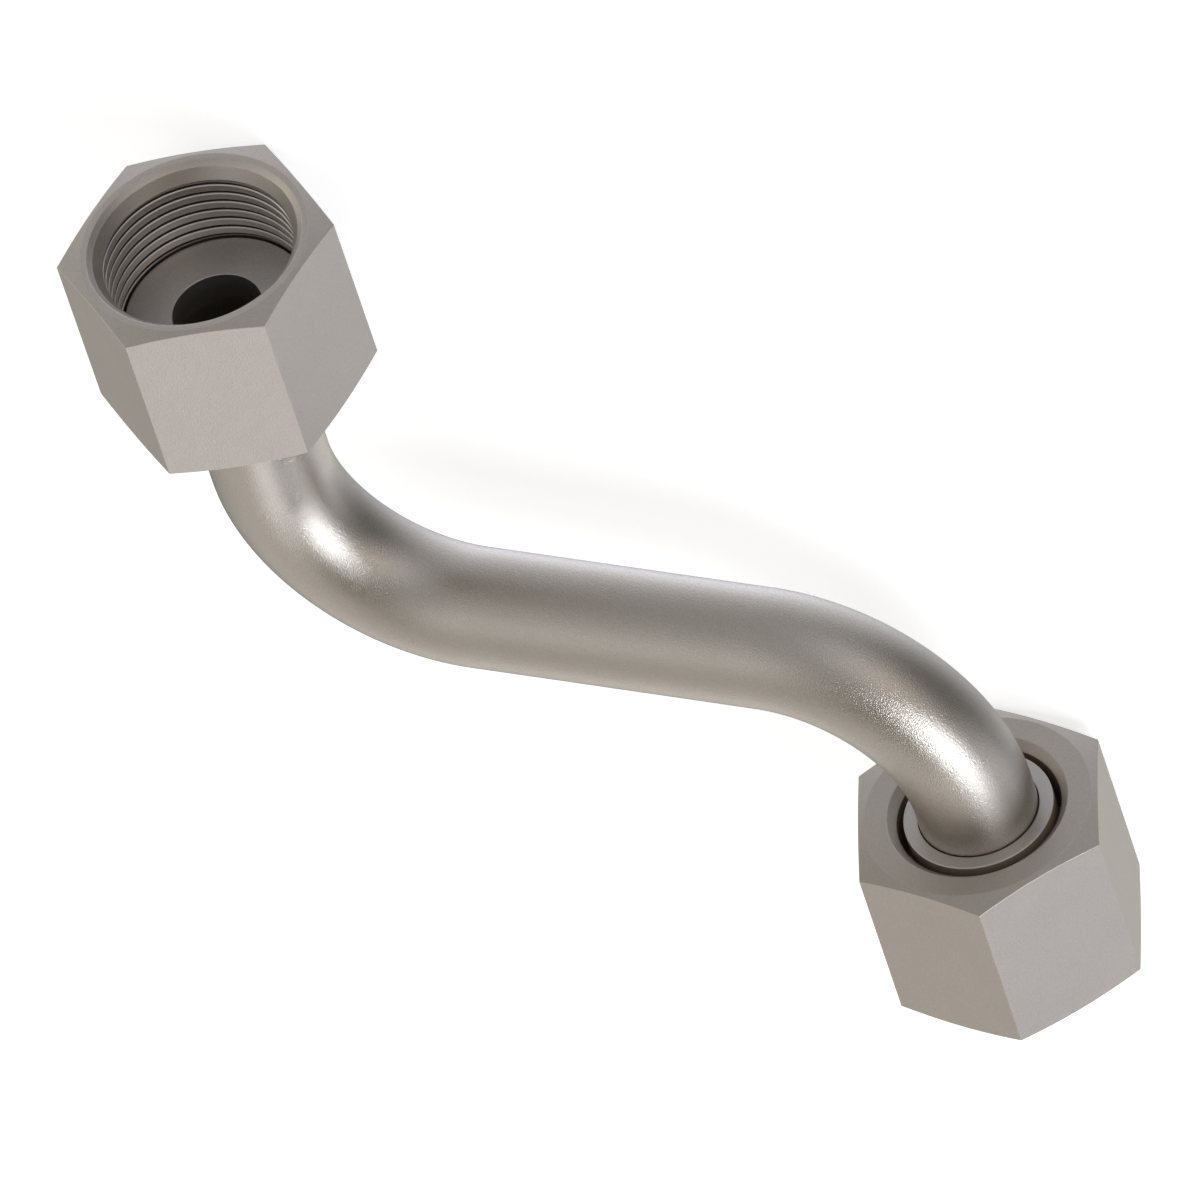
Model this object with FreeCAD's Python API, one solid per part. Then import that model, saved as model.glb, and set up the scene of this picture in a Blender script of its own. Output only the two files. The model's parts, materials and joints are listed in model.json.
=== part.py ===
import FreeCAD, Part
import math
import os

from FreeCAD import Placement, Rotation, Vector

# Bent steel oil line with a captive union nut at each end. Millimetres, +Z up.
# The pipe leaves the inlet nut along -Y, turns to +X, and turns back to -Y into the outlet nut.

# Pipe
pipe_d = 12.0
pipe_wall = 1.5
bend_radius = 18.0
inlet_leg = 12.9
cross_leg = 30.6
outlet_leg = 2.1
pipe_end_break = 0.2

# Union nut
nut_flats = 24.0
nut_height = 20.0
hex_chamfer_d = 22.9
hex_chamfer_angle = 15.0
mouth_lead_d = 21.6
mouth_lead_depth = 0.5
mouth_cone_d = 20.5
mouth_cone_angle = 30.0
thread_minor_d = 19.05
relief_depth = 0.55
rear_bore_d = 16.5
rear_countersink = 0.85

# Nipple: a flat-faced sleeve brazed on the pipe end
seal_face_depth = 10.0
flange_thickness = 3.0
flange_edge = 0.2
hub_d = 15.1
hub_inset = 0.5
hub_edge = 0.15
hub_root_radius = 0.4
socket_depth = 6.0

# Clearances
flange_clearance = 0.2
socket_clearance = 0.1

# How far a corner of each nut is turned from +X towards +Z, before the line is laid down
inlet_nut_turn = 38.6
outlet_nut_turn = 8.6

# Sizes that follow from the ones above
pipe_r = pipe_d / 2.0
pipe_bore_r = pipe_r - pipe_wall
thread_minor_r = thread_minor_d / 2.0
flange_r = thread_minor_r - flange_clearance
hub_r = hub_d / 2.0
socket_r = pipe_r + socket_clearance
rear_bore_r = rear_bore_d / 2.0
relief_r = thread_minor_r + relief_depth
shoulder_depth = seal_face_depth + flange_thickness
mouth_cone_height = (mouth_cone_d - thread_minor_d) / 2.0 / math.tan(math.radians(mouth_cone_angle))
thread_start_depth = mouth_lead_depth + mouth_cone_height
thread_end_depth = seal_face_depth
hub_end_depth = nut_height - hub_inset
pipe_end_depth = hub_end_depth - socket_depth
axis_offset = 2.0 * bend_radius + cross_leg
line_length = 2.0 * (nut_height + bend_radius) + inlet_leg + outlet_leg


def revolved(outline):
    """Solid turned about the Z axis from (radius, z) points."""
    points = [Vector(r, 0, z) for r, z in outline]
    face = Part.Face(Part.makePolygon(points + points[:1]))
    return face.revolve(Vector(0, 0, 0), Vector(0, 0, 1), 360)


def hexagon(height):
    """Hexagonal bar below z = 0 with a corner on +X."""
    corner = nut_flats / math.sqrt(3.0)
    angles = [math.radians(60 * k) for k in range(7)]
    points = [Vector(corner * math.cos(t), corner * math.sin(t), -height) for t in angles]
    return Part.Face(Part.makePolygon(points)).extrude(Vector(0, 0, height))


def nut_envelope():
    """Turned blank whose shallow end cones cut the corners of the hexagon."""
    chamfer_r = hex_chamfer_d / 2.0
    outer_r = nut_flats * 0.6
    drop = (outer_r - chamfer_r) * math.tan(math.radians(hex_chamfer_angle))
    outline = [
        (0, 0),
        (chamfer_r, 0),
        (outer_r, -drop),
        (outer_r, -nut_height + drop),
        (chamfer_r, -nut_height),
        (0, -nut_height),
    ]
    return revolved(outline)


def nut_inside():
    """Mouth lead and cone, thread bore, relief, shoulder and countersunk rear bore, as one cutter."""
    over = 1.0
    lead_r = mouth_lead_d / 2.0
    sink_r = rear_bore_r + rear_countersink
    outline = [
        (0, over),
        (lead_r, over),
        (lead_r, 0),
        (mouth_cone_d / 2.0, -mouth_lead_depth),
        (thread_minor_r, -thread_start_depth),
        (thread_minor_r, -thread_end_depth),
        (relief_r, -thread_end_depth - relief_depth),
        (relief_r, -shoulder_depth),
        (rear_bore_r, -shoulder_depth),
        (rear_bore_r, -nut_height + rear_countersink),
        (sink_r, -nut_height),
        (sink_r, -nut_height - over),
        (0, -nut_height - over),
    ]
    return revolved(outline)


def union_nut(corner_angle):
    """Nut with its mouth at z = 0 facing +Z and a corner at the given angle from +X."""
    nut = hexagon(nut_height).common(nut_envelope()).cut(nut_inside())
    nut.rotate(Vector(0, 0, 0), Vector(0, 0, 1), corner_angle)
    return nut


def hub_root(sleeve):
    """Circular edge where the hub meets the back of the flange."""
    for edge in sleeve.Edges:
        circle = edge.Curve
        if isinstance(circle, Part.Circle) and circle.Center.isEqual(Vector(0, 0, -shoulder_depth), 1e-6):
            if abs(circle.Radius - hub_r) < 1e-6:
                return edge
    raise ValueError("the nipple has no hub root")


def nipple():
    """Brazed sleeve in the frame of its nut: flat face at the front, pipe socket at the back."""
    outline = [
        (pipe_bore_r, -seal_face_depth),
        (pipe_bore_r, -pipe_end_depth),
        (socket_r, -pipe_end_depth),
        (socket_r, -hub_end_depth),
        (hub_r - hub_edge, -hub_end_depth),
        (hub_r, -hub_end_depth + hub_edge),
        (hub_r, -shoulder_depth),
        (flange_r - flange_edge, -shoulder_depth),
        (flange_r, -shoulder_depth + flange_edge),
        (flange_r, -seal_face_depth - flange_edge),
        (flange_r - flange_edge, -seal_face_depth),
    ]
    sleeve = revolved(outline)
    return sleeve.makeFillet(hub_root_radius, [hub_root(sleeve)])


def disc(radius, centre, normal):
    """Round face."""
    circle = Part.Circle(centre, normal, radius)
    return Part.Face(Part.Wire(circle.toShape()))


def pipe_rod(radius, extra):
    """Round bar along the bent route, running on past each end of the pipe by extra."""
    into_pipe = Vector(0, -1, 0)
    across = Vector(1, 0, 0)
    hidden = nut_height - pipe_end_depth
    half = line_length / 2.0
    start = Vector(-axis_offset / 2.0, half - pipe_end_depth + extra, 0)
    first = disc(radius, start, into_pipe).extrude(into_pipe * (extra + hidden + inlet_leg))
    turn_1 = Vector(-axis_offset / 2.0, start.y - extra - hidden - inlet_leg, 0)
    hinge_1 = turn_1 + across * bend_radius
    bend_1 = disc(radius, turn_1, into_pipe).revolve(hinge_1, Vector(0, 0, 1), 90)
    turn_2 = hinge_1 + into_pipe * bend_radius
    middle = disc(radius, turn_2, across).extrude(across * cross_leg)
    turn_3 = turn_2 + across * cross_leg
    hinge_2 = turn_3 + into_pipe * bend_radius
    bend_2 = disc(radius, turn_3, across).revolve(hinge_2, Vector(0, 0, 1), -90)
    turn_4 = hinge_2 + across * bend_radius
    last = disc(radius, turn_4, into_pipe).extrude(into_pipe * (outlet_leg + hidden + extra))
    return first.multiFuse([bend_1, middle, bend_2, last])


def pipe_end_trim(side):
    """Cutter that breaks the outer edge of one pipe end; side is +1 at the inlet."""
    reach = pipe_r + 1.0
    outline = [
        (pipe_r - pipe_end_break, 0),
        (reach, -reach + pipe_r - pipe_end_break),
        (reach, 1.0),
        (pipe_r - pipe_end_break, 1.0),
    ]
    cutter = revolved(outline)
    cutter.Placement = end_placement(side).multiply(Placement(Vector(0, 0, -pipe_end_depth), Rotation()))
    return cutter


def pipe():
    """Bent pipe, with an open bore from end to end."""
    bar = pipe_rod(pipe_r, 0.0)
    bore = pipe_rod(pipe_bore_r, 1.0)
    return bar.cut(bore).cut(pipe_end_trim(1)).cut(pipe_end_trim(-1))


def end_placement(side):
    """Frame of the inlet (side +1) or outlet (side -1) mouth: its +Z points out of the nut."""
    out = Vector(0, side, 0)
    turn = Rotation(Vector(1, 0, 0), out.cross(Vector(1, 0, 0)), out, "ZXY")
    return Placement(Vector(-side * axis_offset / 2.0, side * line_length / 2.0, 0), turn)


def corner_reach(turn, heading):
    """How far a nut's corners reach from its axis along a heading, angles from +X to +Z."""
    corner = nut_flats / math.sqrt(3.0)
    return corner * max(math.cos(math.radians(turn + 60 * k - heading)) for k in range(6))


def resting_tilt():
    """Small angle, +X towards +Z, at which a corner of both nuts touches the ground."""
    tilt = 0.0
    for _ in range(20):
        rise = corner_reach(outlet_nut_turn + tilt, -90) - corner_reach(inlet_nut_turn + tilt, -90)
        tilt = math.degrees(math.asin(rise / axis_offset))
    return tilt


def resting_placement():
    """Lays the line on its two nuts, with z = 0 on the ground and the origin under its middle."""
    tilt = resting_tilt()
    half_x = axis_offset / 2.0 * math.cos(math.radians(tilt))
    half_z = axis_offset / 2.0 * math.sin(math.radians(tilt))
    right = half_x + corner_reach(outlet_nut_turn + tilt, 0)
    left = half_x + corner_reach(inlet_nut_turn + tilt, 180)
    lift = half_z + corner_reach(inlet_nut_turn + tilt, -90)
    return Placement(Vector((left - right) / 2.0, 0, lift), Rotation(Vector(0, 1, 0), -tilt))


def build():
    """All five pieces by node name, at rest."""
    inlet = end_placement(1)
    outlet = end_placement(-1)
    pieces = {
        "pipe": (pipe(), Placement()),
        "inlet_nipple": (nipple(), inlet),
        "outlet_nipple": (nipple(), outlet),
        "inlet_nut": (union_nut(-inlet_nut_turn), inlet),
        "outlet_nut": (union_nut(outlet_nut_turn), outlet),
    }
    rest = resting_placement()
    placed = {}
    for name, (shape, place) in pieces.items():
        shape.Placement = rest.multiply(place).multiply(shape.Placement)
        placed[name] = shape
    return placed


os.makedirs("parts", exist_ok=True)
for node, solid in build().items():
    solid.exportStep("parts/" + node + ".step")
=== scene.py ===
import json
import math

import bpy
import numpy as np
from bpy.props import FloatProperty, FloatVectorProperty, PointerProperty
from bpy.types import Operator, Panel, PropertyGroup
from mathutils import Matrix, Vector


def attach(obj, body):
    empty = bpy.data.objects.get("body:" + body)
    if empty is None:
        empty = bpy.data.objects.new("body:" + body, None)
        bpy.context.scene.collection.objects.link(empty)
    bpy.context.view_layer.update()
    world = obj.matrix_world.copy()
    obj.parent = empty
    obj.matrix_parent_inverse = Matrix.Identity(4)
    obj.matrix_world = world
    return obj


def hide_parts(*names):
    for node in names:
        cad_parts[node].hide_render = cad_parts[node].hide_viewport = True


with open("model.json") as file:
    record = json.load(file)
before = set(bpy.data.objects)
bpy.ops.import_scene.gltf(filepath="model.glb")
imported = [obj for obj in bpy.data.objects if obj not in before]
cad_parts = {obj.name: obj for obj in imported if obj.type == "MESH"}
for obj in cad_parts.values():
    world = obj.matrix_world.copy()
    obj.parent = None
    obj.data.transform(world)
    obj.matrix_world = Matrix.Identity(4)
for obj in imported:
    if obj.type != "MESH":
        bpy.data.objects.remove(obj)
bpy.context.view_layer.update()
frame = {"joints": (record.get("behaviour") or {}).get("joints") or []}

bl_info = {
    "name": "Oil Line",
    "version": (1, 0, 0),
    "blender": (4, 5, 0),
    "location": "View3D > Sidebar > Oil Line",
    "description": "Bent steel oil line with a captive union nut at each end",
    "category": "Add Mesh",
}

MM = 0.001
JOINTS = {joint["child"]: joint for joint in frame["joints"]}
ENDS = ("inlet", "outlet")

# shape of the nuts: the turn from a nut's first corner at which its thread starts, the turns of the
# thread, the slope of its groove's flanks, the slope of the end cones, and the easing of the corners
THREAD_START = math.radians(344)
THREAD_TURNS = 7
FLANK_SLOPE = math.tan(math.radians(60))
END_CONE_SLOPE = math.tan(math.radians(15))
CORNER_ROUND = 0.06 * MM

# detail of the meshes: points round the pipe and the sleeves, points along the pipe's five stretches,
# and the smallest angle that is shaded as an edge
PIPE_COLUMNS = 128
SLEEVE_COLUMNS = 144
PIPE_ROWS = (6, 65, 13, 65, 4)
SHARP_ANGLE = math.radians(34)

# steel: gains on the base colour in the darkest and lightest grain and at an edge, whose brighter colour
# is wear and a painted highlight, the mottling's share in the grain, how much wear lowers the roughness
# and how much the stain and the painted shade lower the metallic value, and how far the roughness goes
# below and above its value. The pipe's stays over 0.274: below that, the renderer's noise
# filter gets no surface detail and draws blotches round the highlights.
DARK_GRAIN, LIGHT_GRAIN, WORN_EDGE_WITH_SHEEN = 0.55, 1.45, 1.7
MOTTLE_SHARE = 0.2
WORN_SMOOTHING, SHADE_AND_STAIN_DULLING = 0.15, 0.8
SMOOTHER, ROUGHER = 0.0025, 0.01
NOISE_SPREAD = (0.3, 0.7)  # where nearly all of a noise texture's values lie

# layers: the stain in the relief and behind a flange, the stain and painted shade in the bores, and the
# painted light on the inner and the outer end of a mouth's cone. A narrow gap's stain and a thread's
# painted light are 1.
RECESS_STAIN, BORE_STAIN_AND_SHADE = 0.3, 0.6
CONE_INNER_LIGHT, CONE_OUTER_LIGHT = 0.3, 0.2

# stage: half the floor's side, and the point that the key softbox is aimed at
FLOOR_HALF = 2.5
KEY_TARGET = (0.0, 0.0, 0.013)
# the camera's place in millimetres, and the picture's right, up and back
CAMERA_PLACE = (2245.39044883, 4005.3536706, 3095.82220359)
CAMERA_AXES = (
    (0.90286859, -0.2241256, -0.36687332),
    (-0.14083429, 0.65208237, -0.74495254),
    (0.40619456, 0.72426259, 0.55718012),
)


# ---------------------------------------------------------------- properties


def length(name, description, millimetres):
    """A length property with a default in millimetres."""
    return FloatProperty(
        name=name, description=description, default=millimetres * MM, unit="LENGTH", precision=5, min=0.0
    )


def angle(name, description, degrees):
    """An angle property with a default in degrees."""
    return FloatProperty(name=name, description=description, default=math.radians(degrees), subtype="ANGLE")


def share(name, description, default, top=1.0):
    """A plain factor."""
    return FloatProperty(
        name=name, description=description, default=default, min=0.0, max=top, subtype="FACTOR"
    )


def colour(name, description, rgb):
    """A linear colour."""
    return FloatVectorProperty(
        name=name, description=description, default=(*rgb, 1.0), size=4, min=0.0, max=1.0, subtype="COLOR"
    )


class OilLineSizes(PropertyGroup):
    """Real sizes of the pieces. Depths are measured along a nut's axis from its mouth."""

    pipe_diameter: length("Pipe diameter", "Outside diameter of the pipe", 12.0)
    pipe_bore: length("Pipe bore", "Inside diameter of the pipe and of the sleeves", 9.0)
    pipe_end_break: length("Pipe end break", "Bevel on the outer edge of the pipe's ends", 0.2)
    bend_radius: length("Bend radius", "Centreline radius of both bends", 18.0)
    inlet_leg: length("Inlet leg", "Straight pipe between the inlet nut and the first bend", 12.9)
    cross_leg: length("Cross leg", "Straight pipe between the two bends", 30.6)
    outlet_leg: length("Outlet leg", "Straight pipe between the second bend and the outlet nut", 2.1)
    nut_flats: length("Across flats", "Width of the hexagon across its flats", 24.0)
    nut_height: length("Nut height", "Length of a nut along its axis", 20.0)
    land_diameter: length("Land diameter", "Where the end faces turn into the corner cones", 22.9)
    lead_diameter: length("Lead diameter", "Outer edge of the lead into the mouth", 21.6)
    lead_depth: length("Lead depth", "Depth at which the lead meets the mouth's cone", 0.5)
    cone_diameter: length("Cone diameter", "Wide end of the mouth's cone", 20.5)
    cone_angle: angle("Cone angle", "Slope of the mouth's cone from the axis", 30.0)
    thread_crest: length("Thread crest", "Diameter of the thread's crests", 19.05)
    thread_pitch: length("Thread pitch", "Advance of the thread in one turn", 1.254)
    groove_width: length("Groove width", "Opening of the thread's 60 degree groove", 0.52)
    first_groove: length("First groove", "Depth of the first groove at the wall opposite its start", 2.01)
    relief_depth: length("Relief depth", "How far the relief is cut behind the thread", 0.55)
    seal_depth: length("Seal face depth", "Depth of the sleeve's flat face in its nut", 10.0)
    flange_thickness: length("Flange thickness", "Thickness of the sleeve's flange", 3.0)
    flange_gap: length("Flange gap", "Clearance between flange and thread crests", 0.2)
    hub_diameter: length("Hub diameter", "Outside diameter of the sleeve's hub", 15.1)
    hub_inset: length("Hub inset", "How far the hub ends inside the nut's rear face", 0.5)
    socket_gap: length("Socket gap", "Clearance between pipe and socket", 0.1)
    socket_depth: length("Socket depth", "How far the pipe goes into the hub", 6.0)
    rear_bore: length("Rear bore", "Diameter of the nut's rear opening", 16.5)
    rear_countersink: length("Rear countersink", "Width and depth of the countersink round it", 0.85)
    inlet_corner: angle("Inlet corner", "Turn of an inlet nut corner from +X towards +Z", 37.83)
    outlet_corner: angle("Outlet corner", "Turn of an outlet nut corner from +X towards +Z", 7.83)


class OilLineFinish(PropertyGroup):
    """Colours and finish of the steel."""

    pipe_colour: colour("Pipe colour", "Satin steel of the bent pipe", (0.55, 0.505, 0.455))
    nut_colour: colour("Nut colour", "Matt steel of the nuts", (0.55, 0.505, 0.46))
    sleeve_colour: colour("Sleeve colour", "Turned steel of the sleeves", (0.59, 0.56, 0.535))
    stain_colour: colour("Stain colour", "Brown oxide in the narrow gaps", (0.30, 0.235, 0.18))
    # painted shade: near black colour for the thread's roots and the bores
    painted_shade_colour: colour("Root colour", "Dark grime in the thread's root", (0.020, 0.017, 0.014))
    pipe_roughness: share("Pipe roughness", "Blur of the pipe's reflections", 0.277)
    nut_roughness: share("Nut roughness", "Blur of the nuts' reflections", 0.47)
    sleeve_roughness: share("Sleeve roughness", "Blur of the sleeves' reflections", 0.46)
    # painted light: a light colour that lifts the shade on a mouth's cone and threaded wall
    painted_inner_light_colour: colour("Painted inner light colour", "Clean cut metal inside a nut's mouth", (0.85, 0.81, 0.77))
    # edge wear and painted highlight: a brighter colour along eased edges, corners and the thread's lips
    edge_wear_with_sheen: share("Edge wear and sheen", "How much the edges are polished by handling", 0.15)


class OilLineStage(PropertyGroup):
    """Floor, light and camera."""

    floor_colour: colour("Floor colour", "Pale matt floor", (0.80, 0.80, 0.80))
    floor_lift: share("Floor lift", "Light added where floor is seen, so that it shows white", 0.60)
    key_strength: share("Key strength", "Radiance of the key softbox", 10.5, 50.0)
    key_colour: colour("Key colour", "Tint of the key softbox", (0.865, 0.925, 1.0))
    key_distance: length("Key distance", "Distance of the key softbox from the line", 600.0)
    key_azimuth: angle("Key azimuth", "Direction of the key softbox, from +X towards +Y", -6.0)
    key_elevation: angle("Key elevation", "Height of the key softbox over the horizon", 36.0)
    key_spread: angle("Key spread", "Half angle that the key softbox fills", 11.5)
    lens: FloatProperty(name="Lens", description="Focal length in millimetres", default=1700.0, min=50.0)


# ------------------------------------------------------------------- shapes


def softened(corners, setbacks, steps=4, support=0.04 * MM):
    """Closed profile whose corners are eased.

    corners is (corner, column, 2). Each corner P, with unit directions a and b to its neighbours and
    setback t in millimetres, becomes the parabola (1-u)^2 (P + t a) + 2u(1-u) P + u^2 (P + t b) for u
    from 0 to 1, with one more row a support length outside each end. Returns (row, column, 2) and each
    row's 4u(1-u), the share that an edge gets of the wear and painted highlight.
    """
    before = np.roll(corners, 1, axis=0) - corners
    after = np.roll(corners, -1, axis=0) - corners
    before /= np.linalg.norm(before, axis=-1, keepdims=True)
    after /= np.linalg.norm(after, axis=-1, keepdims=True)
    t = np.asarray(setbacks)[:, None, None] * MM
    u = np.linspace(0.0, 1.0, steps + 1)[None, :, None, None]
    start, end = corners + t * before, corners + t * after
    arc = (1 - u) ** 2 * start[:, None] + 2 * u * (1 - u) * corners[:, None] + u**2 * end[:, None]
    first = (start + support * before)[:, None]
    last = (end + support * after)[:, None]
    rows = np.concatenate([first, arc, last], axis=1)
    sheen_and_wear = np.concatenate([[0.0], (4 * u * (1 - u)).ravel(), [0.0]])
    return rows.reshape(-1, corners.shape[1], 2), np.tile(sheen_and_wear, len(corners))


def turned(rows, angles):
    """Surface of revolution: (radius cos t, radius sin t, -depth) for rows of (radius, depth)."""
    radius, depth = rows[..., 0], rows[..., 1]
    return np.stack([radius * np.cos(angles), radius * np.sin(angles), -depth], axis=-1)


def travelled(rows):
    """Length along the profile from its first row, in millimetres."""
    step = np.linalg.norm(np.diff(rows, axis=0), axis=-1)
    return np.concatenate([np.zeros((1, rows.shape[1])), np.cumsum(step, axis=0)]) / MM


def quads(rows, columns, wrap_rows):
    """Corner numbers of a grid's quads. Columns always wrap; rows wrap if the profile is closed."""
    r = np.arange(rows if wrap_rows else rows - 1)[:, None]
    c = np.arange(columns)[None, :]
    r2, c2 = (r + 1) % rows, (c + 1) % columns
    corners = [r * columns + c, r * columns + c2, r2 * columns + c2, r2 * columns + c]
    return np.stack(corners, axis=-1).reshape(-1, 4)


def hexagon_columns(corner_round, per_half_flat=12):
    """Angles round a nut from one corner, close together at the eased corners, and each one's polish.

    A corner is eased by a circle of radius q whose centre is (apothem - q) / cos 30 from the axis. It
    meets the flats at the angle atan2(q / 2, centre + q cos 30) from the corner.
    """
    sizes = bpy.context.scene.oil_line_sizes
    centre = (sizes.nut_flats / 2 - corner_round) / math.cos(math.pi / 6)
    meet = math.atan2(corner_round / 2, centre + corner_round * math.cos(math.pi / 6))
    near = meet * np.array([0.0, 0.4, 0.75, 1.0, 1.7])
    half = np.concatenate([near, np.linspace(near[-1], math.pi / 6, per_half_flat + 1)[1:]])
    sector = np.concatenate([half, math.pi / 3 - half[-2:0:-1]])
    sheen_and_wear = np.clip(1 - np.minimum(sector, math.pi / 3 - sector) / meet, 0, 1)
    angles = (sector + np.arange(6)[:, None] * math.pi / 3).ravel()
    return angles, np.tile(sheen_and_wear, 6)


def hexagon_radius(angles, apothem, corner_round):
    """Distance from the axis to an eased hexagon: apothem / cos of the angle off the flat's middle, or
    d cos e + sqrt(q^2 - d^2 sin^2 e) on a corner's circle, e off the corner and d its centre's distance."""
    off_corner = (angles + math.pi / 6) % (math.pi / 3) - math.pi / 6
    flat = apothem / np.cos(math.pi / 6 - np.abs(off_corner))
    centre = (apothem - corner_round) / math.cos(math.pi / 6)
    root = np.sqrt(np.maximum(corner_round**2 - (centre * np.sin(off_corner)) ** 2, 0))
    meet = math.atan2(corner_round / 2, centre + corner_round * math.cos(math.pi / 6))
    return np.where(np.abs(off_corner) < meet, centre * np.cos(off_corner) + root, flat)


def nut_shell(angles):
    """Rows of (radius, depth) from the thread's top circle over the mouth, the hexagon and the rear to
    the thread's bottom circle, with each row's share of edge wear and painted highlight, whether it is
    turned, its stain, and how much painted light lifts its shade."""
    s = bpy.context.scene.oil_line_sizes
    crest, land = s.thread_crest / 2, s.land_diameter / 2
    across = hexagon_radius(angles, s.nut_flats / 2, CORNER_ROUND)
    drop = (across - land) * END_CONE_SLOPE
    shoulder = s.seal_depth + s.flange_thickness
    relief = crest + s.relief_depth
    rear = s.rear_bore / 2
    # corners 0-1 mouth cone, 2-3 front face, 4-5 hexagon, 6-7 rear face, 8-9 rear bore, 10-11 relief,
    # 12 end of the thread
    table = [
        (crest, cone_end(), 0.02),
        (s.cone_diameter / 2, s.lead_depth, 0.05),
        (s.lead_diameter / 2, 0, 0.10),
        (land, 0, 0.05),
        (across, drop, 0.05),
        (across, s.nut_height - drop, 0.05),
        (land, s.nut_height, 0.05),
        (rear + s.rear_countersink, s.nut_height, 0.08),
        (rear, s.nut_height - s.rear_countersink, 0.04),
        (rear, shoulder, 0.10),
        (relief, shoulder, 0.10),
        (relief, s.seal_depth + s.relief_depth, 0.06),
        (crest, s.seal_depth, 0.02),
    ]
    round_axis = np.zeros_like(angles)
    corners = np.stack(
        [np.stack([radius + round_axis, depth + round_axis], axis=-1) for radius, depth, _ in table]
    )
    rows, sheen_and_wear = softened(corners, [setback for _, _, setback in table])
    per_corner = len(rows) // len(table)
    middle = per_corner // 2
    hexagonal = np.zeros(len(rows))
    hexagonal[4 * per_corner + middle : 5 * per_corner + middle + 1] = 1.0
    stain = np.zeros(len(rows))
    stain[8 * per_corner + middle + 1 : 9 * per_corner] = 1.0
    stain[9 * per_corner : 12 * per_corner + middle] = RECESS_STAIN
    # painted light on the mouth's cone, lifting its shade
    painted_inner_light = np.zeros(len(rows))
    painted_inner_light[:per_corner] = CONE_INNER_LIGHT
    painted_inner_light[per_corner : 2 * per_corner] = CONE_OUTER_LIGHT
    return rows, sheen_and_wear, 1 - hexagonal, stain, painted_inner_light


def cone_end():
    """Depth at which the mouth's cone meets the thread's crests: lead + half the difference of the
    diameters / tan of the cone's slope."""
    s = bpy.context.scene.oil_line_sizes
    return s.lead_depth + (s.cone_diameter - s.thread_crest) / 2 / math.tan(s.cone_angle)


def thread_wall(angles, shell_rows):
    """Threaded wall between the shell's first circle and its last one.

    The section across one pitch is a crest with a 60 degree groove in its middle. It is carried down a
    right-hand helix, depth = start + pitch * turns, and the angle falls as the depth grows. The groove
    grows from nothing at the start and dies away at the end. Depths past a limit are squeezed to
    limit + room (1 - exp(-(depth - limit) / room)), at the top towards the cone and at the bottom towards
    the relief. The wall's vertices are numbered on from the shell's. Returns local points, faces,
    polish, travel and the depth of cut in millimetres.
    """
    s = bpy.context.scene.oil_line_sizes
    pitch, wide, columns = s.thread_pitch, s.groove_width, len(angles)
    lip, flat, support, middle = 0.02 * MM, 0.03 * MM, 0.05 * MM, pitch / 2
    top_limit, top_room = cone_end() + 0.185 * MM, 0.105 * MM
    bottom_limit, bottom_room = s.seal_depth - 0.26 * MM, 0.18 * MM
    grow_start, grow_span = math.radians(15), math.radians(90)
    fade_end, fade_span = 2 * math.pi * (THREAD_TURNS - 0.12), math.radians(80)
    deep = (wide - flat) / 2 * FLANK_SLOPE
    near = np.array([wide / 2 + lip + support, wide / 2 + lip, wide / 2, wide / 2 - lip, flat / 2])
    offsets = np.concatenate([[0.0], middle - near, middle + near[::-1]])
    side = np.array([0.0, 0.0, 0.25 * lip * FLANK_SLOPE, lip * FLANK_SLOPE, deep])
    cut = np.concatenate([[0.0], side, side[::-1]])
    # the groove's lips get edge wear and painted highlight
    lip_shine = [0.0, 0.3, 0.8, 0.3, 0.0]
    shine = np.array([0.0, *lip_shine, *lip_shine])
    count = columns * THREAD_TURNS
    step = np.arange(count + columns + 1)
    start_column = int(np.argmin(np.abs(angles - THREAD_START)))
    column = (start_column - step) % columns
    swept = (angles[start_column] - angles[column]) % (2 * math.pi) + 2 * math.pi * (step // columns)
    grow = np.clip((swept - grow_start) / grow_span, 0, 1)
    fade = np.clip((fade_end - swept) / fade_span, 0, 1)
    amount = (grow**2 * (3 - 2 * grow)) * (fade**2 * (3 - 2 * fade))
    start = s.first_groove + wide / 2 - middle - pitch / 2
    depth = start + pitch * swept[None, :] / (2 * math.pi) + offsets[:, None]
    depth = squeezed(depth, bottom_limit, bottom_room)
    depth = -squeezed(-depth, -top_limit, top_room)
    cut = cut[:, None] * amount[None, :]
    radius = s.thread_crest / 2 + cut
    points = turned(np.stack([radius, depth], axis=-1), angles[column])
    line = shell_rows * columns + step
    body = line[-1] + 1 + np.arange((len(offsets) - 1) * (count + 1)).reshape(-1, count + 1)
    grid = np.concatenate([line[None, : count + 1], body, line[None, columns:]])
    rim = (start_column - np.arange(columns + 1)) % columns
    floor_rim = (shell_rows - 1) * columns + rim
    strip = between(grid[:-1], grid[1:])
    above, below = between(rim, line[: columns + 1]), between(line[count:], floor_rim)
    opening = [rim[-2], rim[-1], line[0], *body[:, 0], line[columns], line[columns - 1]]
    closing = [line[count], line[count + 1], floor_rim[1], floor_rim[0], line[-1], *body[::-1, count]]
    faces = strip.tolist() + above[:-1].tolist() + below[1:].tolist()
    faces += [[int(v) for v in opening], [int(v) for v in closing]]
    everything = np.concatenate([points[0], points[1:, : count + 1].reshape(-1, 3)])
    sheen_and_wear = np.concatenate([np.zeros(len(step)), np.repeat(shine[1:], count + 1)])
    travel = np.concatenate([depth[0], depth[1:, : count + 1].ravel()]) / MM
    cut = np.concatenate([cut[0], cut[1:, : count + 1].ravel()]) / MM
    return everything, faces, sheen_and_wear, travel, cut


def squeezed(value, limit, room):
    """Value, or past the limit: limit + room (1 - exp(-(value - limit) / room))."""
    return np.minimum(value, limit) + room * (1 - np.exp(-np.maximum(value - limit, 0) / room))


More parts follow.
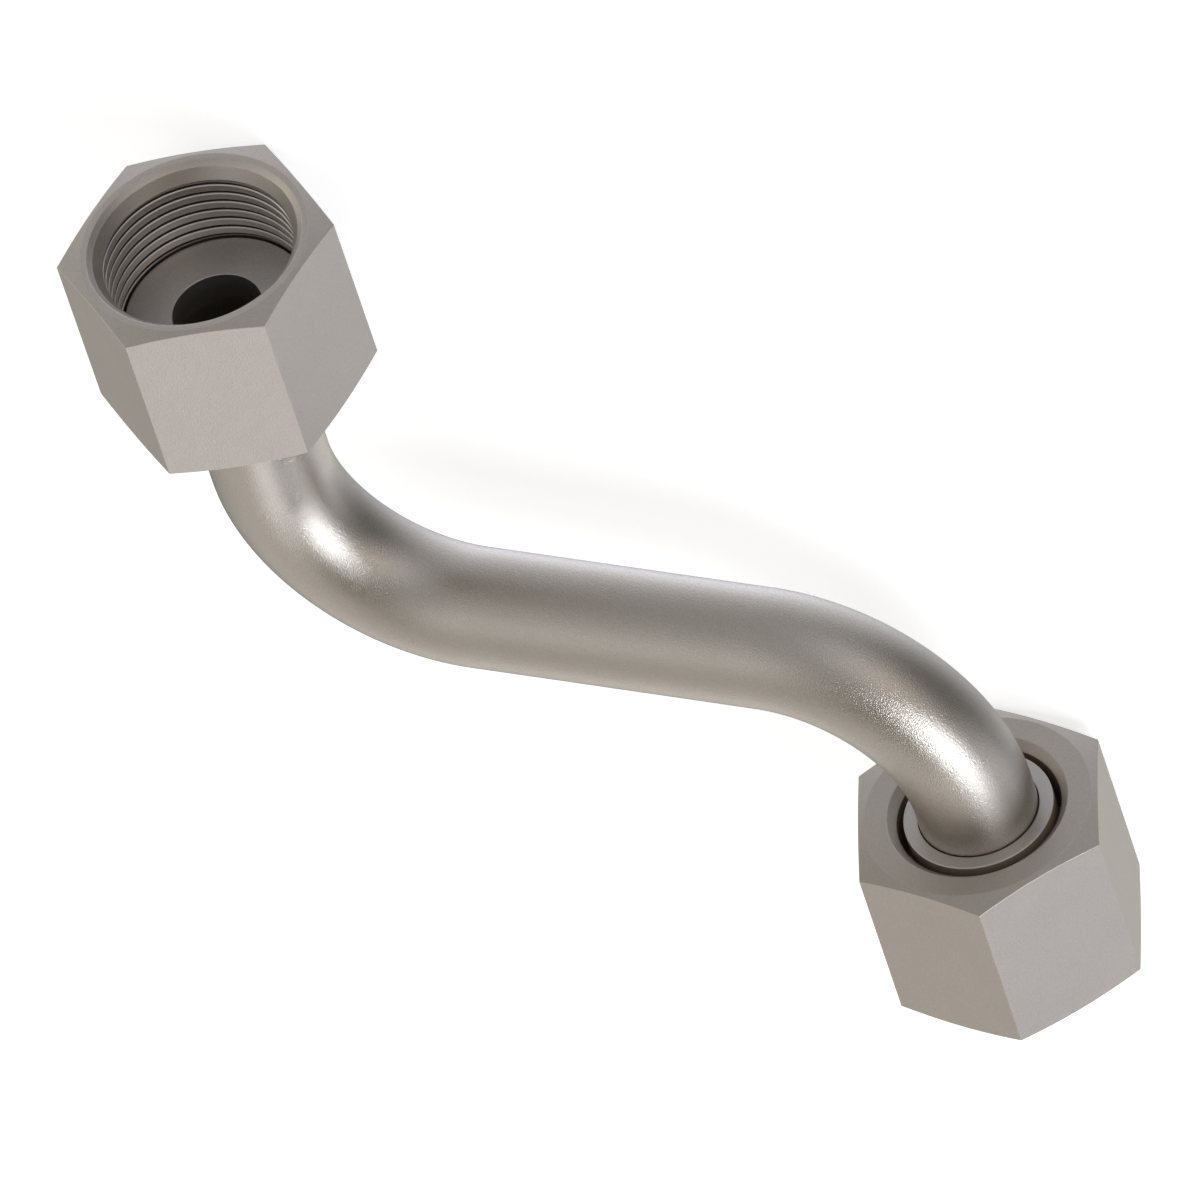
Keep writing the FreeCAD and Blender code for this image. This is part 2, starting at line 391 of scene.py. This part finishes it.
def between(upper, lower):
    """Quads between two lines of vertex numbers, or between two stacks of such lines."""
    return np.stack(
        [upper[..., :-1], upper[..., 1:], lower[..., 1:], lower[..., :-1]], axis=-1
    ).reshape(-1, 4)


def placed(points, end):
    """Local points of a nut or sleeve, in the row frame. The local origin is the centre of the nut's
    mouth, and the local axes are X, out x X, and out of the mouth."""
    joint = JOINTS[f"{end}_nut"]
    out = np.array(joint["axis"], float)
    along = np.array([1.0, 0.0, 0.0])
    origin = np.array(joint["pos_m"]) + bpy.context.scene.oil_line_sizes.seal_depth * out
    return origin + points @ np.stack([along, np.cross(out, along), out])


def outward(points, faces):
    """Faces turned so that the volume, a sixth of the sum of a . (b x c) over triangles, is positive."""
    quad = np.array([f[:4] for f in faces if len(f) == 4])
    a, b, c, d = (points[quad[:, k]] for k in range(4))
    volume = np.einsum("ij,ij->", a, np.cross(b, c)) + np.einsum("ij,ij->", a, np.cross(c, d))
    return faces if volume > 0 else [list(reversed(f)) for f in faces]


def add_piece(name, points, faces, layers, material, body, node):
    """Makes a smooth mesh with its float layers, and ties it to a body, a CAD node and a finish."""
    mesh = bpy.data.meshes.new(name)
    mesh.from_pydata(points.tolist(), [], outward(points, faces))
    for layer, values in layers.items():
        attribute = mesh.attributes.new(layer, "FLOAT", "POINT")
        attribute.data.foreach_set("value", np.asarray(values, np.float32).ravel())
    mesh.shade_smooth()
    mesh.set_sharp_from_angle(angle=SHARP_ANGLE)
    mesh.materials.append(material)
    if mesh.validate():
        raise RuntimeError(f"{name} had broken faces")
    piece = bpy.data.objects.new(name, mesh)
    bpy.context.scene.collection.objects.link(piece)
    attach(piece, body)
    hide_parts(node)
    return piece


# --------------------------------------------------------------- materials


def wire(tree, kind, inputs=(), **settings):
    """Adds a shader node, sets its fields, and fills its inputs with values or links."""
    node = tree.nodes.new(kind)
    for field, value in settings.items():
        setattr(node, field, value)
    for socket, value in dict(inputs).items():
        if isinstance(value, bpy.types.NodeSocket):
            tree.links.new(value, node.inputs[socket])
        else:
            node.inputs[socket].default_value = value
    return node


def maths(tree, operation, *values):
    """Result of a maths node on values or links."""
    return wire(tree, "ShaderNodeMath", dict(enumerate(values)), operation=operation).outputs[0]


def layer_value(tree, layer):
    """Value of a float layer of the piece, which is 0 on a piece without that layer."""
    return wire(tree, "ShaderNodeAttribute", attribute_name=layer).outputs["Fac"]


def carried(tree, value, source, target=(0.0, 1.0)):
    """Value carried from the range source to the range target, and held inside it."""
    ends = {"From Min": source[0], "From Max": source[1], "To Min": target[0], "To Max": target[1]}
    return wire(tree, "ShaderNodeMapRange", {"Value": value, **ends}).outputs["Result"]


def new_group(name, inputs, outputs):
    """An empty shader node group with float inputs (name: default) and outputs (name: socket type)."""
    group = bpy.data.node_groups.new(name, "ShaderNodeTree")
    for label, default in inputs.items():
        socket = group.interface.new_socket(name=label, in_out="INPUT", socket_type="NodeSocketFloat")
        socket.default_value = default
    for label, kind in outputs.items():
        group.interface.new_socket(name=label, in_out="OUTPUT", socket_type=kind)
    entry = group.nodes.new("NodeGroupInput")
    leave = group.nodes.new("NodeGroupOutput")
    return group, entry.outputs, leave.inputs


def blasted_grain_group():
    """Fine blasted grain: bright and dark specks with a matching height, over soft slow mottling."""
    group, given, result = new_group(
        "Blasted grain",
        {"Grains per metre": 6500.0, "Mottles per metre": 350.0, "Contrast": 0.12},
        {"Shade": "NodeSocketFloat", "Height": "NodeSocketFloat", "Mottle": "NodeSocketFloat"},
    )
    place = wire(group, "ShaderNodeTexCoord").outputs["Object"]
    fine = wire(
        group, "ShaderNodeTexNoise",
        {"Vector": place, "Scale": given["Grains per metre"], "Detail": 2.0, "Roughness": 0.6},
    ).outputs["Fac"]
    slow = wire(
        group, "ShaderNodeTexNoise",
        {"Vector": place, "Scale": given["Mottles per metre"], "Detail": 4.0, "Roughness": 0.55},
    ).outputs["Fac"]
    speck = maths(group, "SUBTRACT", fine, 0.5)
    cloud = maths(group, "SUBTRACT", slow, 0.5)
    both = maths(group, "MULTIPLY_ADD", cloud, MOTTLE_SHARE, speck)
    shade = maths(group, "MULTIPLY_ADD", both, given["Contrast"], 0.5)
    group.links.new(shade, result["Shade"])
    group.links.new(fine, result["Height"])
    group.links.new(slow, result["Mottle"])
    return group


def broken_layer_group(name, layer, amount, clouds, spread, gain):
    """Mask from a float layer of the piece, broken up by noise: layer * noise * amount, with the noise
    carried from the range spread to the range gain."""
    group, given, result = new_group(
        name, {"Amount": amount, "Clouds per metre": clouds}, {"Mask": "NodeSocketFloat"}
    )
    layered = layer_value(group, layer)
    place = wire(group, "ShaderNodeTexCoord").outputs["Object"]
    noise = wire(
        group, "ShaderNodeTexNoise", {"Vector": place, "Scale": given["Clouds per metre"], "Detail": 3.0}
    ).outputs["Fac"]
    mask = maths(group, "MULTIPLY", layered, carried(group, noise, spread, gain))
    mask = maths(group, "MULTIPLY", mask, given["Amount"])
    group.links.new(mask, result["Mask"])
    return group


def edge_sheen_and_wear_group():
    """Edges brighter in colour, as wear and as a painted highlight: the piece's own edge layer, broken up
    by noise.
    """
    return broken_layer_group("Edge polish", "sheen_and_wear", 0.35, 900.0, (0.35, 0.62), (0.25, 1.0))


def painted_inner_light_faces_group():
    """Painted light that lifts the shade on a mouth's cone and threaded wall: the piece's own layer for it,
    made a little uneven by noise.
    """
    return broken_layer_group("Painted inner light faces", "painted_inner_light", 0.6, 400.0, NOISE_SPREAD, (0.85, 1.15))


def turning_marks_group():
    """Fine concentric tool marks: noise along the profile's own travel, where the face is turned."""
    group, given, result = new_group("Turning marks", {"Marks per mm": 9.0}, {"Height": "NodeSocketFloat"})
    travel = layer_value(group, "travel")
    lathe = layer_value(group, "turned")
    along = maths(group, "MULTIPLY", travel, given["Marks per mm"])
    noise = wire(
        group, "ShaderNodeTexNoise", {"W": along, "Scale": 1.0, "Detail": 1.0}, noise_dimensions="1D"
    ).outputs["Fac"]
    height = maths(group, "MULTIPLY", noise, lathe)
    group.links.new(height, result["Height"])
    return group


def recess_shade_and_stain_group():
    """Recesses: brown oxide where the stain layer is 1, and near black painted shade where the bore shade
    layer is 1 and in a thread's root, where the cut is deeper than a limit in millimetres."""
    group, given, result = new_group(
        "Recess grime",
        {"Unshaded above": 0.115, "Dark below": 0.140},
        {"Painted shade": "NodeSocketFloat", "Stain": "NodeSocketFloat"},
    )
    cut = layer_value(group, "cut")
    stain = layer_value(group, "stain")
    # painted shade in a thread's root, where the cut is deep
    root = carried(group, cut, (given["Unshaded above"], given["Dark below"]))
    root = maths(group, "MAXIMUM", root, layer_value(group, "bore_shade"))
    group.links.new(root, result["Painted shade"])
    group.links.new(stain, result["Stain"])
    return group


def effect(tree, name, maker, inputs=()):
    """Node of the shared group of that name, which is made on first use."""
    return wire(tree, "ShaderNodeGroup", inputs, node_tree=bpy.data.node_groups.get(name) or maker())


def mixed(tree, factor, first, second):
    """Colour between two colours or links."""
    return wire(tree, "ShaderNodeMix", {0: factor, 6: first, 7: second}, data_type="RGBA").outputs[2]


def steel(name, base, roughness, grain, grain_height, mark_height):
    """Bare steel: base colour lit and dimmed by grain and mottling, lighter with painted light inside a
    mouth, brown with stain, near black with painted shade in thread roots and bores, brighter and
    smoother at edges as wear and a painted highlight, roughness that varies a little, and a bump from
    grain and tool marks. grain fills the grain group's inputs. Both heights are in metres, and without a
    mark height there are no tool marks."""
    found = bpy.data.materials.get(name)
    if found:
        return found
    finish = bpy.context.scene.oil_line_finish
    material = bpy.data.materials.new(name)
    material.use_nodes = True
    tree = material.node_tree
    tree.nodes.clear()
    blast = effect(tree, "Blasted grain", blasted_grain_group, grain)
    edge = effect(tree, "Edge polish", edge_sheen_and_wear_group, {"Amount": finish.edge_wear_with_sheen})
    painted_inner_light = effect(tree, "Painted inner light faces", painted_inner_light_faces_group)
    shade_and_stain = effect(tree, "Recess grime", recess_shade_and_stain_group)
    dark, light, bare_with_sheen = (
        [min(channel * gain, 1.0) for channel in base[:3]] + [1.0]
        for gain in (DARK_GRAIN, LIGHT_GRAIN, WORN_EDGE_WITH_SHEEN)
    )
    tone = mixed(tree, blast.outputs["Shade"], dark, light)
    # painted light: a lighter colour on a mouth's cone and threaded wall
    tone = mixed(tree, painted_inner_light.outputs["Mask"], tone, list(finish.painted_inner_light_colour))
    # edge wear and painted highlight: a brighter colour along the edges
    tone = mixed(tree, edge.outputs["Mask"], tone, bare_with_sheen)
    tone = mixed(tree, shade_and_stain.outputs["Stain"], tone, list(finish.stain_colour))
    # painted shade: near black in the thread's roots and the bores
    tone = mixed(tree, shade_and_stain.outputs["Painted shade"], tone, list(finish.painted_shade_colour))
    either = maths(tree, "MAXIMUM", shade_and_stain.outputs["Painted shade"], shade_and_stain.outputs["Stain"])
    metallic = maths(tree, "MULTIPLY_ADD", either, -SHADE_AND_STAIN_DULLING, 1.0)
    reach = (roughness - SMOOTHER, roughness + ROUGHER)
    rough = carried(tree, blast.outputs["Mottle"], NOISE_SPREAD, reach)
    smooth = maths(tree, "MULTIPLY_ADD", edge.outputs["Mask"], -WORN_SMOOTHING, rough)
    bump = wire(
        tree, "ShaderNodeBump",
        {"Strength": 1.0, "Distance": grain_height, "Height": blast.outputs["Height"]},
    ).outputs["Normal"]
    if mark_height:
        lathe = effect(tree, "Turning marks", turning_marks_group)
        bump = wire(
            tree, "ShaderNodeBump",
            {"Strength": 0.5, "Distance": mark_height, "Height": lathe.outputs["Height"], "Normal": bump},
        ).outputs["Normal"]
    shader = wire(
        tree, "ShaderNodeBsdfPrincipled",
        {"Base Color": tone, "Metallic": metallic, "Roughness": smooth, "Normal": bump},
    )
    out = tree.nodes.new("ShaderNodeOutputMaterial")
    tree.links.new(shader.outputs["BSDF"], out.inputs["Surface"])
    return material


def pipe_steel():
    """Satin steel with a fine blasted grain."""
    finish = bpy.context.scene.oil_line_finish
    grain = {"Grains per metre": 7500.0, "Mottles per metre": 120.0, "Contrast": 0.5}
    return steel("satin_pipe_steel", finish.pipe_colour, finish.pipe_roughness, grain, 45e-6, 0.0)


def nut_steel():
    """Matt steel with a fine grain on its flats and faint tool marks on its turned faces."""
    finish = bpy.context.scene.oil_line_finish
    grain = {"Grains per metre": 6500.0, "Mottles per metre": 200.0, "Contrast": 0.4}
    return steel("matt_nut_steel", finish.nut_colour, finish.nut_roughness, grain, 26e-6, 4e-6)


def sleeve_steel():
    """Turned steel, a little lighter than the nuts."""
    finish = bpy.context.scene.oil_line_finish
    grain = {"Grains per metre": 6500.0, "Mottles per metre": 300.0, "Contrast": 0.5}
    return steel("turned_sleeve_steel", finish.sleeve_colour, finish.sleeve_roughness, grain, 22e-6, 4e-6)


# ------------------------------------------------------------------ pieces


def pipe_route(s):
    """Points and headings at arc length s of the route in its own plane, x across and y against the flow.

    The heading turns from 0 to 90 degrees over the first bend and back over the second. With p and q the
    two turns done so far and the three straights a, b, c done so far, the point is
    x = R (1 - cos p) + b + R sin q and y = -(a + R sin p + R (1 - cos q) + c).
    """
    sizes = bpy.context.scene.oil_line_sizes
    hidden = sizes.socket_depth + sizes.hub_inset
    first, cross, last = hidden + sizes.inlet_leg, sizes.cross_leg, hidden + sizes.outlet_leg
    radius = sizes.bend_radius
    quarter = radius * math.pi / 2
    marks = np.cumsum([0, first, quarter, cross, quarter, last])
    done = [np.clip(s - marks[k], 0, marks[k + 1] - marks[k]) for k in range(5)]
    p, q = done[1] / radius, done[3] / radius
    x = radius * (1 - np.cos(p)) + done[2] + radius * np.sin(q)
    y = -(done[0] + radius * np.sin(p) + radius * (1 - np.cos(q)) + done[4])
    return np.stack([x, y], axis=-1), p - q, marks


class OILLINE_OT_pipe(Operator):
    """Makes the bent pipe: a circle carried along the route outside, and back again inside"""

    bl_idname = "oil_line.pipe"
    bl_label = "Pipe"

    def execute(self, context):
        sizes = context.scene.oil_line_sizes
        *_, marks = pipe_route(np.zeros(1))
        whole = marks[-1]
        brk = sizes.pipe_end_break
        stops = [np.linspace(marks[k], marks[k + 1], n)[1:] for k, n in enumerate(PIPE_ROWS)]
        outer = np.concatenate([[brk], np.concatenate(stops)[:-1], [whole - brk]])
        inner = np.concatenate(stops)[:-1][::-1]
        r_out, r_in = sizes.pipe_diameter / 2, sizes.pipe_bore / 2
        travel = np.concatenate([outer, [whole, whole], inner, [0.0, 0.0]])
        radius = np.concatenate([
            np.full(len(outer), r_out), [r_out - brk, r_in], np.full(len(inner), r_in), [r_in, r_out - brk],
        ])
        centre, heading, _ = pipe_route(travel)
        turn = np.linspace(0, 2 * math.pi, PIPE_COLUMNS, endpoint=False)
        side = np.stack([np.cos(heading), np.sin(heading)], axis=-1)
        flat = centre[:, None, :] + (radius[:, None] * np.cos(turn))[..., None] * side[:, None, :]
        rise = radius[:, None] * np.sin(turn)
        start, finish = (np.array(JOINTS[f"{end}_nut"]["pos_m"]) for end in ENDS)
        across = np.array([finish[0] - start[0], 0.0, finish[2] - start[2]])
        across /= np.linalg.norm(across)
        up = np.cross(across, [0.0, 1.0, 0.0])
        first_end = start.copy()
        first_end[1] += sizes.seal_depth - (sizes.nut_height - sizes.hub_inset - sizes.socket_depth)
        points = (
            first_end
            + flat[..., :1] * across
            + flat[..., 1:] * np.array([0.0, 1.0, 0.0])
            + rise[..., None] * up
        )
        faces = quads(len(travel), PIPE_COLUMNS, True).tolist()
        # stain and painted shade inside the pipe's bore
        bore_stain_and_shade = BORE_STAIN_AND_SHADE * np.tile((radius < (r_out + r_in) / 2)[:, None], PIPE_COLUMNS)
        add_piece(
            "bent_pipe", points.reshape(-1, 3), faces, {"stain": bore_stain_and_shade, "bore_shade": bore_stain_and_shade}, pipe_steel(),
            "line", "pipe",
        )
        return {"FINISHED"}


class OILLINE_OT_sleeves(Operator):
    """Makes the two flat-faced sleeves: one closed profile turned about each nut's axis"""

    bl_idname = "oil_line.sleeves"
    bl_label = "Sleeves"

    def execute(self, context):
        s = context.scene.oil_line_sizes
        bore, hub, socket = s.pipe_bore / 2, s.hub_diameter / 2, s.pipe_diameter / 2 + s.socket_gap
        flange = s.thread_crest / 2 - s.flange_gap
        face, shoulder = s.seal_depth, s.seal_depth + s.flange_thickness
        end = s.nut_height - s.hub_inset
        # corners 0 bore at the face, 1-2 flange, 3 hub's root, 4 hub's end, 5 socket's mouth, 6 socket's
        # bottom, 7 bore at the socket
        table = [
            (bore, face, 0.10), (flange, face, 0.15), (flange, shoulder, 0.15), (hub, shoulder, 0.40),
            (hub, end, 0.15), (socket, end, 0.06), (socket, end - s.socket_depth, 0.06),
            (bore, end - s.socket_depth, 0.06),
        ]
        corners = np.array([[radius, depth] for radius, depth, _ in table])[:, None, :]
        rows, sheen_and_wear = softened(corners, [setback for *_, setback in table])
        rows = np.repeat(rows, SLEEVE_COLUMNS, axis=1)
        angles = np.linspace(0, 2 * math.pi, SLEEVE_COLUMNS, endpoint=False)
        local = turned(rows, angles).reshape(-1, 3)
        faces = quads(len(rows), SLEEVE_COLUMNS, True).tolist()
        per_corner = len(rows) // len(table)
        stain = np.zeros(len(rows))
        stain[per_corner + 5 : 4 * per_corner] = RECESS_STAIN
        stain[4 * per_corner : 4 * per_corner + 2] = 1.0
        stain[5 * per_corner + 4 :] = 1.0
        # painted shade in the sleeve's bores
        bore_shade = np.zeros(len(rows))
        bore_shade[0] = bore_shade[-per_corner + 3 :] = BORE_STAIN_AND_SHADE
        layers = {"travel": travelled(rows), "turned": np.ones(rows.shape[:2])}
        for layer, values in (("sheen_and_wear", sheen_and_wear), ("stain", stain), ("bore_shade", bore_shade)):
            layers[layer] = np.repeat(values, SLEEVE_COLUMNS)
        for name in ENDS:
            add_piece(
                f"{name}_sleeve", placed(local, name), faces, layers, sleeve_steel(),
                "line", f"{name}_nipple",
            )
        return {"FINISHED"}


class OILLINE_OT_nuts(Operator):
    """Makes the two union nuts: a hexagonal shell with turned ends, and a threaded wall inside it"""

    bl_idname = "oil_line.nuts"
    bl_label = "Union nuts"

    def execute(self, context):
        s = context.scene.oil_line_sizes
        angles, corner_sheen_and_wear = hexagon_columns(CORNER_ROUND)
        columns = len(angles)
        rows, sheen_and_wear, lathe, stain, painted_inner_light = nut_shell(angles)
        shell = turned(rows, angles)
        # edge wear and painted highlight at eased edges and the hexagon's corners
        wear_sheen_mask = np.maximum(sheen_and_wear[:, None], corner_sheen_and_wear[None, :] * (1 - lathe[:, None]))
        wall, wall_faces, wall_sheen_and_wear, wall_travel, cut = thread_wall(angles, len(rows))
        faces = quads(len(rows), columns, False).tolist() + wall_faces
        points = np.concatenate([shell.reshape(-1, 3), wall])
        layers = {
            "sheen_and_wear": np.concatenate([wear_sheen_mask.ravel(), wall_sheen_and_wear]),
            "travel": np.concatenate([travelled(rows).ravel(), wall_travel]),
            "turned": np.concatenate([np.repeat(lathe, columns), np.ones(len(wall))]),
            "stain": np.concatenate([np.repeat(stain, columns), np.zeros(len(wall))]),
            # painted light over the whole threaded wall
            "painted_inner_light": np.concatenate([np.repeat(painted_inner_light, columns), np.ones(len(wall))]),
            "cut": np.concatenate([np.zeros(len(rows) * columns), cut]),
        }
        for name, corner in (("inlet", -s.inlet_corner), ("outlet", s.outlet_corner)):
            c, d = math.cos(corner), math.sin(corner)
            turn = np.array([[c, d, 0], [-d, c, 0], [0, 0, 1]])
            add_piece(
                f"{name}_union_nut", placed(points @ turn, name), faces, layers, nut_steel(),
                f"{name}_nut", f"{name}_nut",
            )
        return {"FINISHED"}


# ------------------------------------------------------------------- stage


def toward(azimuth, elevation):
    """Unit direction at an azimuth from +X towards +Y and an elevation over the horizon."""
    level = math.cos(elevation)
    return np.array([level * math.cos(azimuth), level * math.sin(azimuth), math.sin(elevation)])


# soft patches of the studio round the line: azimuth, elevation, spread in degrees, and colour
STUDIO_PATCHES = (
    (280, 32, 7, (1.90, 2.01, 2.30)),
    (313, 5, 3, (5.40, 5.40, 5.40)),
    (205, -59, 15, (1.12, 1.19, 1.38)),
    (18, -39, 30, (-0.30, -0.30, -0.32)),
    (306, -26, 22, (0.31, 0.33, 0.42)),
    (0, 79, 15, (-0.42, -0.46, -0.54)),
    (138, 70, 15, (0.60, 0.60, 0.62)),
    (60, 1, 15, (0.43, 0.44, 0.50)),
    (56, 30, 9, (0.25, 0.25, 0.30)),
    (340, -13, 7, (1.19, 1.20, 1.23)),
    (111, -70, 22, (0.48, 0.50, 0.57)),
    (250, 32, 22, (0.31, 0.27, 0.23)),
    (173, 8, 22, (0.76, 0.77, 0.67)),
    (272, -28, 15, (0.95, 0.96, 0.77)),
    (295, 47, 7, (1.38, 1.33, 1.29)),
    (40, 17, 7, (1.15, 0.95, 0.65)),
    (340, 17, 4, (2.55, 2.65, 3.15)),
    (300, 17, 8, (-0.70, -0.66, -0.60)),
    (25, 45, 8, (-0.30, -0.36, -0.40)),
    (247, 4, 6, (0.90, 0.90, 0.92)),
    (238, -38, 12, (-0.80, -0.80, -0.80)),
)
# the studio's light between the patches, and the least that any direction keeps
STUDIO_LEVEL = (0.370, 0.372, 0.372)
STUDIO_LEAST = (0.03, 0.03, 0.03)


def looked_at(tree):
    """The light path's outputs, and 1 for rays from the camera or through glass, 0 for the others."""
    path = wire(tree, "ShaderNodeLightPath").outputs
    return path, maths(tree, "MAXIMUM", path["Is Camera Ray"], path["Is Transmission Ray"])


def studio_world():
    """World that is plain white to the camera and through glass, and a soft pale studio to all else.

    The studio's light in direction w is STUDIO_LEVEL + sum of colour * exp((w . d - 1) / spread^2) over
    its patches d, and nowhere less than STUDIO_LEAST.
    """
    world = bpy.data.worlds.new("pale_studio")
    bpy.context.scene.world = world
    world.use_nodes = True
    tree = world.node_tree
    tree.nodes.clear()
    direction = wire(tree, "ShaderNodeTexCoord").outputs["Generated"]
    total = STUDIO_LEVEL
    for azimuth, elevation, spread, tint in STUDIO_PATCHES:
        aim = toward(math.radians(azimuth), math.radians(elevation))
        dot = wire(
            tree, "ShaderNodeVectorMath", {0: direction, 1: aim.tolist()}, operation="DOT_PRODUCT"
        ).outputs["Value"]
        sharpness = 1 / math.radians(spread) ** 2
        power = maths(tree, "MULTIPLY_ADD", dot, sharpness, -sharpness)
        bell = maths(tree, "EXPONENT", power)
        total = wire(
            tree, "ShaderNodeVectorMath", {0: bell, 1: tint, 2: total}, operation="MULTIPLY_ADD"
        ).outputs["Vector"]
    total = wire(
        tree, "ShaderNodeVectorMath", {0: total, 1: STUDIO_LEAST}, operation="MAXIMUM"
    ).outputs["Vector"]
    _, seen = looked_at(tree)
    studio = wire(tree, "ShaderNodeBackground", {"Color": total, "Strength": 1.0}).outputs[0]
    white = wire(tree, "ShaderNodeBackground", {"Color": (1, 1, 1, 1), "Strength": 1.0}).outputs[0]
    mix = wire(tree, "ShaderNodeMixShader", {0: seen, 1: studio, 2: white}).outputs[0]
    out = tree.nodes.new("ShaderNodeOutputWorld")
    tree.links.new(mix, out.inputs["Surface"])


def floor_material(settings):
    """Matt pale floor that keeps the line's shadow, lifted to white for the camera, mirrors and glass."""
    material = bpy.data.materials.new("pale_floor")
    material.use_nodes = True
    tree = material.node_tree
    tree.nodes.clear()
    path, seen = looked_at(tree)
    seen = maths(tree, "MAXIMUM", seen, path["Is Glossy Ray"])
    lift = maths(tree, "MULTIPLY", seen, settings.floor_lift)
    paint = {"Color": settings.floor_colour, "Roughness": 0.0}
    matt = wire(tree, "ShaderNodeBsdfDiffuse", paint).outputs[0]
    glow = wire(tree, "ShaderNodeEmission", {"Color": (1, 1, 1, 1), "Strength": lift}).outputs[0]
    both = wire(tree, "ShaderNodeAddShader", {0: matt, 1: glow}).outputs[0]
    out = tree.nodes.new("ShaderNodeOutputMaterial")
    tree.links.new(both, out.inputs["Surface"])
    return material


class OILLINE_OT_stage(Operator):
    """Makes the pale floor, the soft studio light and the camera at the picture's angle"""

    bl_idname = "oil_line.stage"
    bl_label = "Stage"

    def execute(self, context):
        scene = context.scene
        settings = scene.oil_line_stage
        corners = [(x * FLOOR_HALF, y * FLOOR_HALF, 0) for x, y in ((-1, -1), (1, -1), (1, 1), (-1, 1))]
        mesh = bpy.data.meshes.new("floor")
        mesh.from_pydata(corners, [], [(0, 1, 2, 3)])
        mesh.materials.append(floor_material(settings))
        floor = bpy.data.objects.new("floor", mesh)
        scene.collection.objects.link(floor)
        # the studio's patches below the horizon light the line, and the metal mirrors them
        floor.visible_glossy = False
        floor.visible_shadow = False
        studio_world()
        aim = toward(settings.key_azimuth, settings.key_elevation)
        disc_radius = settings.key_distance * math.tan(settings.key_spread)
        lamp = bpy.data.lights.new("key_softbox", "AREA")
        lamp.shape = "DISK"
        lamp.size = 2 * disc_radius
        lamp.color = settings.key_colour[:3]
        # a disc's power is its radiance * pi * its area
        lamp.energy = settings.key_strength * math.pi * math.pi * disc_radius**2
        key = bpy.data.objects.new("key_softbox", lamp)
        scene.collection.objects.link(key)
        key.location = np.array(KEY_TARGET) + aim * settings.key_distance
        key.rotation_mode = "QUATERNION"
        key.rotation_quaternion = Vector(-aim).to_track_quat("-Z", "Y")
        self.add_camera(scene, settings)
        scene.view_settings.view_transform = "Standard"
        return {"FINISHED"}

    def add_camera(self, scene, settings):
        """Long lens at the picture's angle."""
        data = bpy.data.cameras.new("camera")
        data.lens = settings.lens
        data.sensor_width = 36.0
        data.clip_start, data.clip_end = 0.1, 20.0
        camera = bpy.data.objects.new("camera", data)
        scene.collection.objects.link(camera)
        matrix = np.eye(4)
        matrix[:3, :3] = np.stack(CAMERA_AXES, axis=1)
        matrix[:3, 3] = np.array(CAMERA_PLACE) * MM
        camera.matrix_world = Matrix(matrix.tolist())
        scene.camera = camera


# ------------------------------------------------------------------- panel


class OILLINE_PT_panel(Panel):
    """Sizes, finish and stage of the oil line, and the buttons that make its pieces"""

    bl_label = "Oil Line"
    bl_idname = "OILLINE_PT_panel"
    bl_space_type = "VIEW_3D"
    bl_region_type = "UI"
    bl_category = "Oil Line"

    def draw(self, context):
        scene = context.scene
        for title, group in (
            ("Sizes", scene.oil_line_sizes),
            ("Finish", scene.oil_line_finish),
            ("Stage", scene.oil_line_stage),
        ):
            box = self.layout.box()
            box.label(text=title)
            for name in group.__annotations__:
                box.prop(group, name)
        for operator in OPERATORS:
            self.layout.operator(operator.bl_idname)


OPERATORS = (OILLINE_OT_pipe, OILLINE_OT_sleeves, OILLINE_OT_nuts, OILLINE_OT_stage)
CLASSES = (OilLineSizes, OilLineFinish, OilLineStage, *OPERATORS, OILLINE_PT_panel)
GROUPS = {"oil_line_sizes": OilLineSizes, "oil_line_finish": OilLineFinish, "oil_line_stage": OilLineStage}


def register():
    for cls in CLASSES:
        bpy.utils.register_class(cls)
    for name, group in GROUPS.items():
        setattr(bpy.types.Scene, name, PointerProperty(type=group))


def unregister():
    for name in GROUPS:
        delattr(bpy.types.Scene, name)
    for cls in reversed(CLASSES):
        bpy.utils.unregister_class(cls)


def main():
    register()
    bpy.ops.oil_line.pipe()
    bpy.ops.oil_line.sleeves()
    bpy.ops.oil_line.nuts()
    bpy.ops.oil_line.stage()


if __name__ == "__main__":
    main()
